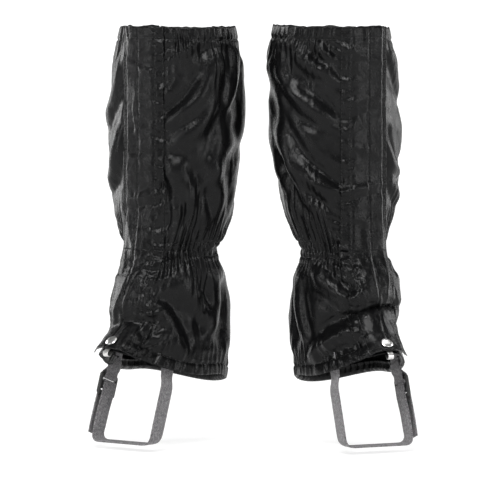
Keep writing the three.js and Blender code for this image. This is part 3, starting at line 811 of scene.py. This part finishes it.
def washer(side, name):
    inner, outer = SHANK_RADIUS + RIVET_CLEAR, CAP_RADIUS * 0.58
    rings = [(inner, WASHER_LOW), (outer - WASHER_ROUND, WASHER_LOW), (outer, WASHER_LOW + WASHER_ROUND),
             (outer, WASHER_TOP - WASHER_ROUND), (outer - WASHER_ROUND, WASHER_TOP), (inner, WASHER_TOP)]
    return finished(turned(f"{name}_back_washer", rings, hole=True), hook_frame(side), side)


def lace_hook(side, name):
    """A strip of steel drawn along a J, edge by edge, then given its thickness."""
    middle = HOOK_TOP - HOOK_THICK / 2
    radius = HOOK_BEND + HOOK_THICK / 2
    centre = middle - radius
    path = [(HOOK_BACK, middle), (1.5, middle), (-4, middle), (-HOOK_PAST, middle)]
    path += [(-HOOK_PAST - radius * math.sin(t), centre + radius * math.cos(t))
             for t in np.linspace(0, math.pi, 13)[1:]]
    path.append((HOOK_RETURN - HOOK_PAST, centre - radius))
    piece = started(
        f"{name}_hook_plate", bpy.ops.mesh.primitive_grid_add, x_subdivisions=4, y_subdivisions=1, size=1,
    )
    edit_mode()
    bpy.ops.mesh.select_all(action="SELECT")
    bpy.ops.transform.resize(value=(HOOK_WIDTH, path[0][0] - path[1][0], 1))
    bpy.ops.transform.translate(value=(0, (path[0][0] + path[1][0]) / 2, middle))
    select_where(piece, "EDGE", lambda c: abs(c.y - path[1][0]) < 1e-4)
    for (y0, z0), (y1, z1) in zip(path[1:], path[2:]):
        bpy.ops.mesh.extrude_edges_move(TRANSFORM_OT_translate={"value": (0, y1 - y0, z1 - z0)})
    select_where(piece, "VERT", lambda c: abs(abs(c.x) - HOOK_WIDTH / 2) < 1e-4 and (
        abs(c.y - HOOK_BACK) < 1e-4 or (abs(c.y - HOOK_RETURN + HOOK_PAST) < 1e-4 and c.z < centre)))
    bpy.ops.transform.resize(value=(0.82, 1, 1))
    thickened(piece, HOOK_THICK)
    return finished(piece, hook_frame(side), side, bevel=0.22, segments=3)


def buckle(side, name):
    """A ladder-lock: a plate of bars and slots, thickened and rounded."""
    height = 3 * BUCKLE_BAR + 2 * BUCKLE_SLOT
    slot_half = WEBBING_WIDTH / 2 + 1
    xs = [-BUCKLE_WIDTH / 2, -slot_half, -slot_half / 3, slot_half / 3, slot_half, BUCKLE_WIDTH / 2]
    ys = [0, BUCKLE_BAR, BUCKLE_BAR + BUCKLE_SLOT, 2 * BUCKLE_BAR + BUCKLE_SLOT,
          2 * BUCKLE_BAR + 2 * BUCKLE_SLOT, height]
    piece = started(
        f"{name}_buckle_frame", bpy.ops.mesh.primitive_grid_add, x_subdivisions=5, y_subdivisions=5, size=1,
    )
    for vertex in piece.data.vertices:
        i, j = round((vertex.co.x + 0.5) * 5), round((vertex.co.y + 0.5) * 5)
        vertex.co = (xs[i], BUCKLE_TOP - height + ys[j], 0)
    slots = [BUCKLE_TOP - height + (ys[1] + ys[2]) / 2, BUCKLE_TOP - height + (ys[3] + ys[4]) / 2]
    select_where(piece, "FACE", lambda c: abs(c.x) < slot_half and min(abs(c.y - s) for s in slots) < 1)
    bpy.ops.mesh.delete(type="FACE")
    select_where(piece, "VERT", lambda c: abs(abs(c.x) - BUCKLE_WIDTH / 2) < 1e-3 and (
        abs(c.y - BUCKLE_TOP) < 1e-3 or abs(c.y - BUCKLE_TOP + height) < 1e-3))
    bpy.ops.mesh.bevel(offset=3.0, segments=4, affect="VERTICES")
    thickened(piece, BUCKLE_THICK)
    strap_side = Matrix(((0, 0, 1, 0), (1, 0, 0, 0), (0, 1, 0, 0), (0, 0, 0, 1)))
    slant = Matrix.Translation((0, -STRAP_FORWARD, STRAP_ANCHOR)) @ Matrix.Rotation(-STRAP_SLANT, 4, "X")
    middle = Matrix.Translation(((BUCKLE_IN + BUCKLE_OUT) / 2, 0, 0))
    return finished(piece, slant @ middle @ strap_side, side, bevel=0.85, segments=4)


# ---- shader maths ----
class Maker:
    """Adds nodes to one material."""

    def __init__(self, name):
        self.material = bpy.data.materials.new(name)
        self.material.use_nodes = True
        self.tree = self.material.node_tree
        self.shader = self.tree.nodes["Principled BSDF"]

    def node(self, kind, settings=None, inputs=None, out=0):
        node = self.tree.nodes.new(kind)
        for key, value in (settings or {}).items():
            setattr(node, key, value)
        for key, value in (inputs or {}).items():
            self.feed(node.inputs[key], value)
        return Wire(self, node.outputs[out])

    def feed(self, socket, value):
        if isinstance(value, Wire):
            self.tree.links.new(value.socket, socket)
        else:
            socket.default_value = value

    def set(self, **values):
        for key, value in values.items():
            self.feed(self.shader.inputs[key.replace("_", " ")], value)

    def noise(self, where, scale, detail=3.0, rough=0.5, twist=0.0):
        return self.node("ShaderNodeTexNoise", inputs={
            "Vector": where, "Scale": scale, "Detail": detail, "Roughness": rough, "Distortion": twist,
        })

    def mix(self, factor, a, b):
        return self.node("ShaderNodeMix", {"data_type": "RGBA"}, {0: factor, 6: a, 7: b}, out=2)

    def bump(self, height, distance, strength=1.0, under=None):
        inputs = {"Height": height, "Distance": distance, "Strength": strength}
        if under is not None:
            inputs["Normal"] = under
        return self.node("ShaderNodeBump", inputs=inputs)

    def flat(self):
        """The cloth's own flat coordinates, in metres, as two numbers."""
        where = self.node("ShaderNodeUVMap", {"uv_map": "Flat"})
        split = self.tree.nodes.new("ShaderNodeSeparateXYZ")
        self.tree.links.new(where.socket, split.inputs[0])
        return where, Wire(self, split.outputs[0]), Wire(self, split.outputs[1])

    def place(self):
        return self.node("ShaderNodeTexCoord", out=3)

    def stretched(self, where, scale):
        return self.node("ShaderNodeMapping", inputs={"Vector": where, "Scale": scale})


class Wire:
    """A socket that takes part in sums."""

    def __init__(self, maker, socket):
        self.maker, self.socket = maker, socket

    def sum(self, operation, *values):
        node = self.maker.tree.nodes.new("ShaderNodeMath")
        node.operation = operation
        for slot, value in enumerate(values):
            self.maker.feed(node.inputs[slot], value)
        return Wire(self.maker, node.outputs[0])

    def __add__(self, other):
        return self.sum("ADD", self, other)

    __radd__ = __add__

    def __sub__(self, other):
        return self.sum("SUBTRACT", self, other)

    def __rsub__(self, other):
        return self.sum("SUBTRACT", other, self)

    def __mul__(self, other):
        return self.sum("MULTIPLY", self, other)

    __rmul__ = __mul__

    def sin(self):
        return self.sum("SINE", self)

    def above(self, level, width):
        """0 below a level and 1 above it, with a soft edge."""
        return self.maker.node("ShaderNodeMapRange", {"interpolation_type": "SMOOTHSTEP"}, {
            "Value": self, "From Min": level - width, "From Max": level + width})


def shade(value, tint=(1.0, 1.0, 1.0)):
    return (value * tint[0], value * tint[1], value * tint[2], 1.0)


TAU = 2 * math.pi
NYLON_PITCH = 0.0006
WEFT_PITCH, WARP_PITCH = 0.0019, 0.0027
RIB_PITCH, YARN_PITCH = 0.0016, 0.0009


def nylon_material():
    """Thin glossy taffeta: a fine weave, crinkles a few millimetres long, and broad soft dents."""
    m = Maker("black_nylon")
    _, u, v = m.flat()
    place = m.place()
    threads = (u * (TAU / NYLON_PITCH)).sin() * (v * (TAU / NYLON_PITCH)).sin()
    crinkle = m.noise(m.stretched(place, (1.0, 1.0, 0.55)), 230.0, 4.0, 0.62, 0.4)
    broad = m.noise(place, 38.0, 3.0, 0.55, 0.2)
    faded = m.noise(place, 16.0, 3.0, 0.6)
    black, worn_black = shade(0.0028, (0.97, 0.98, 1.05)), shade(0.0050, (0.98, 0.99, 1.04))
    colour = m.mix(faded.above(0.55, 0.2), black, worn_black)
    colour = m.mix(crinkle.above(0.62, 0.12) * 0.35, colour, shade(0.012))
    rough = 0.20 + broad * 0.08 + crinkle * 0.05
    fine = m.bump(threads, 0.00003, 0.5)
    folds = m.bump(crinkle, 0.0006, 0.5, under=fine)
    normal = m.bump(broad, 0.003, 0.4, under=folds)
    m.set(Base_Color=colour, Roughness=rough, Normal=normal, Specular_IOR_Level=0.16)
    return m.material


def thread_material(name, low, high, smoothest, spread, specular):
    m = Maker(name)
    twist = m.noise(m.place(), 2200.0, 2.0)
    m.set(Base_Color=m.mix(twist, shade(low), shade(high)), Roughness=smoothest + twist * spread,
          Normal=m.bump(twist, 0.0001, 0.6), Specular_IOR_Level=specular)
    return m.material


def webbing_material():
    m = Maker("grey_webbing")
    where, u, v = m.flat()
    place = m.place()
    weft = (v * (TAU / WEFT_PITCH)).sin()
    warp = (u * (TAU / WARP_PITCH)).sin()
    weave = weft * warp
    fibres = m.noise(m.stretched(where, (1.0, 0.35, 1.0)), 2600.0, 4.0, 0.65)
    mottle = m.noise(where, 360.0, 4.0, 0.75, 0.6)
    faded = m.noise(place, 45.0, 3.0, 0.6)
    light, dark = shade(0.215, (1.0, 0.965, 1.0)), shade(0.045, (1.0, 0.96, 1.03))
    colour = m.mix((mottle + fibres * 0.5 + weave * 0.12).above(0.74, 0.13), dark, light)
    colour = m.mix(faded.above(0.6, 0.2) * 0.3, colour, shade(0.11, (1.0, 0.97, 1.0)))
    height = weave * 0.5 + fibres * 0.6
    m.set(Base_Color=colour, Roughness=0.78 + fibres * 0.15, Normal=m.bump(height, 0.00035, 0.9),
          Sheen_Weight=0.25, Sheen_Roughness=0.5)
    return m.material


def elastic_material():
    m = Maker("black_elastic")
    where, u, v = m.flat()
    ribs = (v * (TAU / RIB_PITCH)).sin()
    yarn = (u * (TAU / YARN_PITCH)).sin()
    fuzz = m.noise(where, 1800.0, 3.0, 0.6)
    colour = m.mix(fuzz.above(0.5, 0.2), shade(0.010), shade(0.024))
    m.set(Base_Color=colour, Roughness=0.72 + fuzz * 0.2,
          Normal=m.bump(ribs * 0.5 + ribs * yarn * 0.3 + fuzz * 0.3, 0.0003, 0.8))
    return m.material


def pile_material(name, scale, low, high, strength):
    m = Maker(name)
    place = m.place()
    cells = m.node("ShaderNodeTexVoronoi", {"feature": "F1"}, {"Vector": place, "Scale": scale})
    fuzz = m.noise(place, scale * 1.7, 3.0, 0.7)
    colour = m.mix((cells * 1.6 + fuzz * 0.3).above(0.6, 0.35), shade(high), shade(low))
    m.set(Base_Color=colour, Roughness=0.88 + fuzz * 0.1,
          Normal=m.bump((1 - cells) * 1.0 + fuzz * 0.4, strength, 0.9), Specular_IOR_Level=0.2)
    return m.material


def steel_material():
    m = Maker("plated_steel")
    place = m.place()
    brushed = m.noise(m.stretched(place, (1.0, 1.0, 6.0)), 900.0, 3.0, 0.6)
    worn_patch = m.noise(place, 260.0, 4.0, 0.65)
    bright, dull = shade(0.74, (1.0, 0.995, 0.98)), shade(0.50, (1.0, 0.98, 0.95))
    colour = m.mix(worn_patch.above(0.6, 0.12), bright, dull)
    m.set(Base_Color=colour, Metallic=1.0, Roughness=0.20 + brushed * 0.14 + worn_patch * 0.10,
          Normal=m.bump(brushed * 0.4 + worn_patch * 0.6, 0.00006, 0.5))
    return m.material


def plastic_material():
    m = Maker("black_plastic")
    place = m.place()
    grain = m.noise(place, 1500.0, 3.0, 0.6)
    scuffs = m.noise(m.stretched(place, (1.0, 3.0, 1.0)), 220.0, 5.0, 0.7, 0.6)
    colour = m.mix(scuffs.above(0.66, 0.08) * 0.6, shade(0.012), shade(0.045))
    m.set(Base_Color=colour, Roughness=0.38 + scuffs * 0.2 + grain * 0.08,
          Normal=m.bump(grain, 0.00008, 0.5))
    return m.material


NYLON = nylon_material()
THREAD = thread_material("black_thread", 0.006, 0.018, 0.5, 0.25, 0.3)
WEBBING_FINISH = webbing_material()
GREY_THREAD = thread_material("grey_thread", 0.10, 0.24, 0.6, 0.2, 0.5)
ELASTIC = elastic_material()
LOOP_PILE = pile_material("loop_pile", 900.0, 0.007, 0.030, 0.0006)
HOOK_PILE = pile_material("hook_pile", 1300.0, 0.006, 0.026, 0.0005)
STEEL = steel_material()
PLASTIC = plastic_material()


# ---- putting one gaiter together ----
def dress(piece, material, body=None):
    piece.data.materials.clear()
    piece.data.materials.append(material)
    if body:
        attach(piece, body)
    return piece


def blend_flap(piece):
    """Bake the piece's place into its mesh."""
    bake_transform(piece)


def build_elastics(name, side):
    """The elastic bands inside the rim, the ankle and the hem."""
    elastics = []
    bands = (("top", RIM - 3, RIM - 12), ("ankle", ANKLE + 6, ANKLE - 6), ("hem", ARCH + 9, ARCH + 2))
    for label, high, low in bands:
        rows = np.linspace(float(row_at(high)), float(row_at(low)), 14)
        start_x = UNDERLAP_X if label == "top" else FREE_X
        band = elastic_band(
            side, f"{name}_{label}_elastic_band", rows, lambda row, x=start_x: angle_at_x(row, x),
            lambda row: 2 * np.pi + angle_at_x(row, SEAM_X), ELASTIC_INSET,
        )
        dress(band, ELASTIC, "gaiter_cloth")
        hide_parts(f"{name}_{label}_elastic")
        elastics.append(band)
    return elastics


def build_flap(name, side, stretch, node, rows, tape_rows, hem_row):
    """One stretch of the storm flap, with its hook tape and its stitches."""
    flap = front_strip(side, f"{name}_flap_{stretch}_cloth", rows, SEAM_X, FREE_X, 56, flap_offset, CLOTH)
    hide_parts(f"{name}_storm_flap_{node}")
    hooks = front_strip(
        side, f"{name}_hook_strip_{stretch}", tape_rows, TAPE_FROM, TAPE_TO, 12, hook_offset, TAPE_THICK,
    )
    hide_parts(f"{name}_hook_tape_{node}")
    thread = stitch_piece(f"{name}_flap_{stretch}_stitches", flap_lines(side, rows, hem_row), side)
    for piece, material, slot in ((flap, NYLON, "black_nylon"), (hooks, HOOK_PILE, "hook_pile"),
                                  (thread, THREAD, "black_nylon")):
        dress(piece, material)
        blend_flap(piece)


def build_strap(name, side):
    """The instep strap, the buckle's webbing, the strap's free end, the anchors and the stitches."""
    strap, webbing_loop, tail, anchors = strap_pieces(side, name)
    for piece, body, node in (
        (strap, f"{name}_strap", "instep_strap"), (webbing_loop, f"{name}_strap", "buckle_loop"),
        (tail, f"{name}_tail", "strap_tail"), (anchors[0], "gaiter_cloth", "inner_strap_anchor"),
        (anchors[1], "gaiter_cloth", "outer_strap_anchor"),
    ):
        dress(piece, WEBBING_FINISH, body)
        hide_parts(f"{name}_{node}")
    box_lines = box_stitch(-ANCHOR_SPAN + WEBBING / 2 + 0.06, 1.0, 7.0, 7.5, 1)
    box_lines += box_stitch(ANCHOR_SPAN + WEBBING / 2 - WEBBING * 0.8 - 0.15, 1.0, 7.0, 7.5, -1)
    end_low = STRAP_END - TAIL_GAP - TAIL_LENGTH
    end_lines = box_stitch(TAIL_PLANE + 1.35, end_low + 1.6, end_low + 4.4, 8.2, 1)[:4]
    for label, lines, body in (("strap", box_lines, "strap"), ("strap_end", end_lines, "tail")):
        sewn = stitch_piece(f"{name}_{label}_stitches", lines, side, length=1.6, gap=0.5, thick=0.22)
        dress(sewn, GREY_THREAD, f"{name}_{body}")


def build_gaiter(name, side):
    """One whole gaiter; every piece but the flap's cloth, hook tape and stitches goes on the body that
    carries it.
    """
    inner, outer = gaiter_cloth(side, name)
    for piece, label in ((inner, "inner"), (outer, "outer")):
        dress(piece, NYLON, "gaiter_cloth")
        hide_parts(f"{name}_{label}_calf_panel", f"{name}_{label}_foot_panel")
    seams = stitch_piece(f"{name}_band_stitches", band_lines(side), side)
    dress(seams, THREAD, "gaiter_cloth")

    tape_top, tape_low = float(row_at(RIM - TAPE_BELOW_RIM)), float(row_at_share(TAPE_END))
    loop = front_strip(side, f"{name}_loop_strip", np.linspace(tape_top, tape_low, 150), TAPE_FROM, TAPE_TO,
                       12, loop_offset, TAPE_THICK)
    dress(loop, LOOP_PILE, "gaiter_cloth")
    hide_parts(f"{name}_loop_tape")
    elastics = build_elastics(name, side)

    build_flap(name, side, "calf", "upper", row_at(np.linspace(RIM, ANKLE, 122)),
               np.linspace(tape_top, ANKLE_ROW, 110), row_at(RIM - FLAP_TURNING))
    build_flap(name, side, "foot", "lower", row_at(np.linspace(ANKLE, ARCH, 92)),
               np.linspace(ANKLE_ROW, tape_low, 60), row_at_share(FLAP_HEM_SHARE))
    build_strap(name, side)

    for piece, material, slot, body, node in (
        (rivet(side, name), STEEL, "plated_steel", "flap_foot", "hook_rivet"),
        (washer(side, name), STEEL, "plated_steel", "flap_foot", "rivet_washer"),
        (lace_hook(side, name), STEEL, "plated_steel", "lace_hook_body", "lace_hook"),
        (buckle(side, name), PLASTIC, "black_plastic", "strap", "ladder_buckle"),
    ):
        dress(piece, material, f"{name}_{body}")
        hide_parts(f"{name}_{node}")


for name, side in (("left", 1), ("right", -1)):
    build_gaiter(name, side)


# ---- floor, light and camera ----
def plain(name, roughness, near_glow, far_glow, colour=0.30):
    """A pale surface that glows: near_glow round the middle of the floor, far_glow far from it."""
    m = Maker(name)
    away = m.node("ShaderNodeVectorMath", {"operation": "LENGTH"}, {"Vector": m.place()}, out=1)
    patches = m.noise(m.place(), 3.0, 2.0)
    glow = m.mix(away.above(1.3, 0.9), shade(near_glow), shade(far_glow))
    m.set(Base_Color=m.mix(patches, shade(colour), shade(colour * 0.985)), Roughness=roughness,
          Emission_Color=glow, Emission_Strength=1.0)
    return m.material


def floor_and_wall():
    floor = started("floor", bpy.ops.mesh.primitive_plane_add, size=14, location=(0, 2, -0.0005))
    bpy.ops.object.transform_apply(location=True)
    floor.data.materials.append(plain("pale_floor", 0.85, 0.74, 0.97))
    wall = started("backdrop", bpy.ops.mesh.primitive_cylinder_add, vertices=96, radius=6, depth=1.0,
                   end_fill_type="NOTHING", location=(0, 0, 0.47))
    bpy.ops.object.transform_apply(location=True)
    wall.data.materials.append(plain("pale_backdrop", 0.9, 0.97, 0.97))


# Each light's name, place, height that it points at, width and height, and watts.
SOFTBOXES = (
    ("left_box", (-1.5, 0.75, 0.6), 0.3, (0.5, 1.4), 18),
    ("right_box", (1.5, 0.75, 0.6), 0.3, (0.5, 1.4), 18),
    ("left_strip", (-1.9, -1.5, 0.9), 0.25, (0.25, 1.2), 15),
    ("right_strip", (2.0, -1.4, 0.9), 0.25, (0.25, 1.2), 15),
    ("front_box", (-0.2, -1.6, 2.1), 0.25, (1.0, 0.5), 48),
    ("high_box", (0.2, 0.5, 2.2), 0.2, (1.2, 1.2), 18),
)


def studio():
    world = bpy.data.worlds.new("studio")
    bpy.context.scene.world = world
    world.use_nodes = True
    world.node_tree.nodes["Background"].inputs["Color"].default_value = (1, 1, 1, 1)
    world.node_tree.nodes["Background"].inputs["Strength"].default_value = 0.10
    for name, place, aim, size, power in SOFTBOXES:
        light = bpy.data.lights.new(name, "AREA")
        light.shape = "RECTANGLE"
        light.size, light.size_y = size
        light.energy = power
        lamp = bpy.data.objects.new(name, light)
        bpy.context.scene.collection.objects.link(lamp)
        lamp.location = place
        lamp.rotation_euler = (Vector((0, 0, aim)) - Vector(place)).to_track_quat("-Z", "Y").to_euler()
    bpy.context.scene.view_settings.view_transform = "Standard"


def camera_at_rim():
    """A long lens far off, at the height of the rims, a little round to one side."""
    distance, azimuth, eye = 3.8, math.radians(6), RIM * MM
    aim_height, aim_left, lens = 0.206, 0.0125, 270.8
    right = Vector((math.cos(azimuth), math.sin(azimuth), 0))
    forward = Vector((-math.sin(azimuth), math.cos(azimuth), 0))
    target = Vector((0, 0, aim_height)) - right * aim_left
    camera = bpy.data.cameras.new("camera")
    camera.lens = lens
    camera.sensor_width = 36
    holder = bpy.data.objects.new("camera", camera)
    bpy.context.scene.collection.objects.link(holder)
    holder.location = target - forward * distance + Vector((0, 0, eye - target.z))
    holder.rotation_euler = (target - holder.location).to_track_quat("-Z", "Y").to_euler()
    bpy.context.scene.camera = holder


floor_and_wall()
studio()
camera_at_rim()
